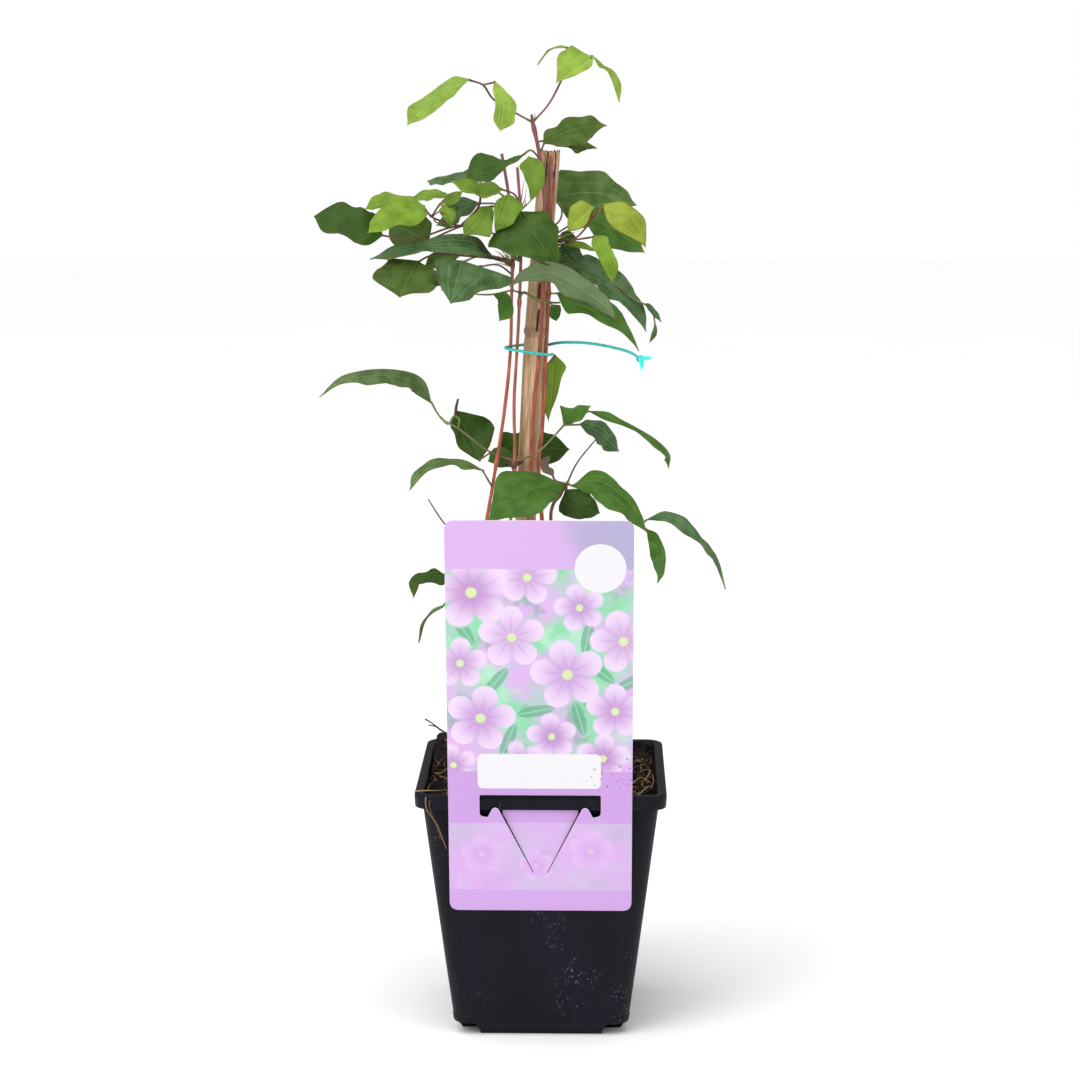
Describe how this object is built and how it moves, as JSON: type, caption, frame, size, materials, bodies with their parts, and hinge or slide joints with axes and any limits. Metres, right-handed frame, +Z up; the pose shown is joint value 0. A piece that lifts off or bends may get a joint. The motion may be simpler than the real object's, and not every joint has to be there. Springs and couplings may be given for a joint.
{
  "type": "potted clematis plant",
  "caption": "Young climbing clematis in a square nursery pot, its leafy stems tied to a bamboo cane, with a hang label on the pot's rim.",
  "frame": {"origin": "centre of the pot's foot, on the surface it stands on", "axes": "+Z up along the plant, -Y the front of the pot where the label hangs, +X to its right"},
  "size_m": [0.2146, 0.1595, 0.5132],
  "materials": {
    "pot_plastic": "near-black satin plastic with light scuffs and dust",
    "soil": "dark peat with pale fibres and bark chips",
    "bamboo": "weathered tan bamboo with grey streaks and a frayed top",
    "foliage": "satin green leaves with paler arching veins, lime where they are young",
    "label_card": "printed lilac plastic card with a white edge",
    "twine": "turquoise plastic twine, twisted"
  },
  "bodies": {
    "root": {"pot": "pot_plastic", "soil": "soil", "cane": "bamboo", "stem_outer": "foliage", "stem_inner": "foliage", "stem_top": "foliage", "stem_right": "foliage", "stem_front": "foliage", "label": "label_card", "tie_loop": "twine", "tie_tail": "twine", "tie_knot": "twine"}
  },
  "joints": []
}
